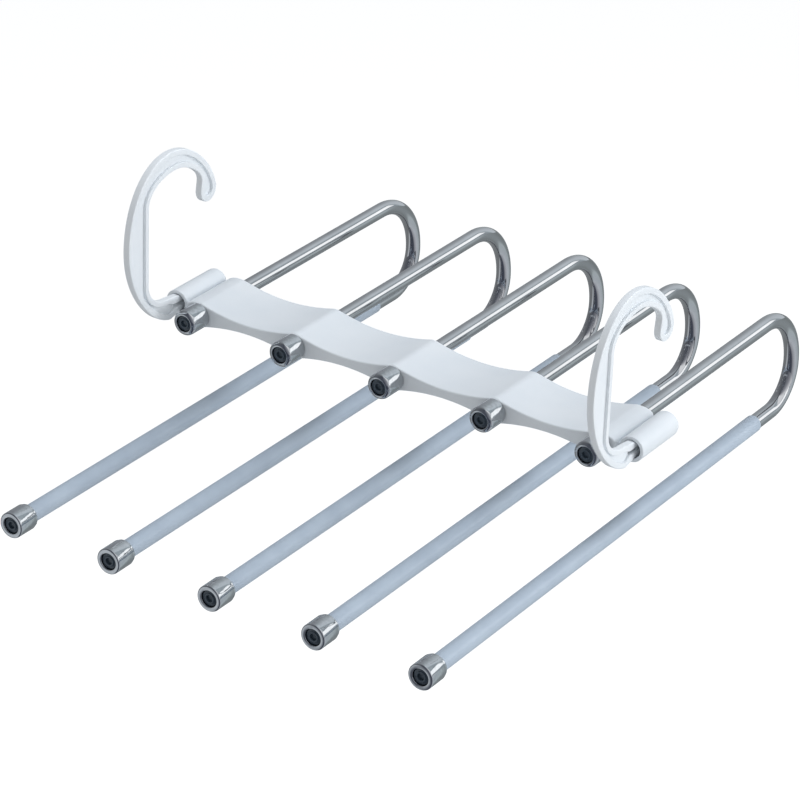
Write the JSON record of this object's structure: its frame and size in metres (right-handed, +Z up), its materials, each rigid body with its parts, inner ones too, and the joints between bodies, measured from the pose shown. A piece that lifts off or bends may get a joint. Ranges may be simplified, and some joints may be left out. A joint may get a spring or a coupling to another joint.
{
  "type": "multi tier trouser hanger",
  "caption": "Folding multi tier trouser hanger: a scalloped plastic bridge on two swivelling hooks carries open-ended steel U tubes that swing sideways for trousers.",
  "frame": {"origin": "rod seat: the underside of the hooks' crowns, midway between the two hooks, where a wardrobe rod carries the hanger", "axes": "+X along the bridge and along the rod, +Y along the tubes towards their closed bends, +Z up"},
  "size_m": [0.2764, 0.3503, 0.1466],
  "materials": {
    "white_abs": "fine satin moulding",
    "hook_plastic": "satin moulding with polished edges",
    "stainless_tube": "bright polished stainless steel",
    "soft_sleeve": "matte soft plastic",
    "chrome_plate": "bright chrome plate",
    "plug_plastic": "dark glossy moulding",
    "spring_steel": "plain spring steel"
  },
  "bodies": {
    "bridge": {"bridge": "white_abs"},
    "hook_left": {"hook_left": "hook_plastic"},
    "hook_right": {"hook_right": "hook_plastic"},
    "hanger_1": {"tube_1": "stainless_tube", "sleeve_1": "soft_sleeve", "bridge_cap_1": "chrome_plate", "leg_cap_1": "chrome_plate", "bridge_plug_1": "plug_plastic", "leg_plug_1": "plug_plastic", "retaining_ring_1": "spring_steel"},
    "hanger_2": {"tube_2": "stainless_tube", "sleeve_2": "soft_sleeve", "bridge_cap_2": "chrome_plate", "leg_cap_2": "chrome_plate", "bridge_plug_2": "plug_plastic", "leg_plug_2": "plug_plastic", "retaining_ring_2": "spring_steel"},
    "hanger_3": {"tube_3": "stainless_tube", "sleeve_3": "soft_sleeve", "bridge_cap_3": "chrome_plate", "leg_cap_3": "chrome_plate", "bridge_plug_3": "plug_plastic", "leg_plug_3": "plug_plastic", "retaining_ring_3": "spring_steel"},
    "hanger_4": {"tube_4": "stainless_tube", "sleeve_4": "soft_sleeve", "bridge_cap_4": "chrome_plate", "leg_cap_4": "chrome_plate", "bridge_plug_4": "plug_plastic", "leg_plug_4": "plug_plastic", "retaining_ring_4": "spring_steel"},
    "hanger_5": {"tube_5": "stainless_tube", "sleeve_5": "soft_sleeve", "bridge_cap_5": "chrome_plate", "leg_cap_5": "chrome_plate", "bridge_plug_5": "plug_plastic", "leg_plug_5": "plug_plastic", "retaining_ring_5": "spring_steel"}
  },
  "joints": [
    {"name": "hook_left_swivel", "type": "hinge", "parent": "bridge", "child": "hook_left", "pos_m": [-0.13161, 0.0194, -0.0738], "axis": [0, 1, 0], "range_deg": [-180, 75]},
    {"name": "hook_right_swivel", "type": "hinge", "parent": "bridge", "child": "hook_right", "pos_m": [0.13161, 0.0194, -0.0738], "axis": [0, 1, 0], "range_deg": [-75, 180]},
    {"name": "tube_1_swing", "type": "hinge", "parent": "bridge", "child": "hanger_1", "pos_m": [-0.116, 0.0194, -0.0753], "axis": [0, 1, 0], "range_deg": [-64, 90]},
    {"name": "tube_2_swing", "type": "hinge", "parent": "bridge", "child": "hanger_2", "pos_m": [-0.058, 0.0194, -0.0753], "axis": [0, 1, 0], "range_deg": [-64, 64]},
    {"name": "tube_3_swing", "type": "hinge", "parent": "bridge", "child": "hanger_3", "pos_m": [0, 0.0194, -0.0753], "axis": [0, 1, 0], "range_deg": [-64, 64]},
    {"name": "tube_4_swing", "type": "hinge", "parent": "bridge", "child": "hanger_4", "pos_m": [0.058, 0.0194, -0.0753], "axis": [0, 1, 0], "range_deg": [-64, 64]},
    {"name": "tube_5_swing", "type": "hinge", "parent": "bridge", "child": "hanger_5", "pos_m": [0.116, 0.0194, -0.0753], "axis": [0, 1, 0], "range_deg": [-90, 64]}
  ]
}
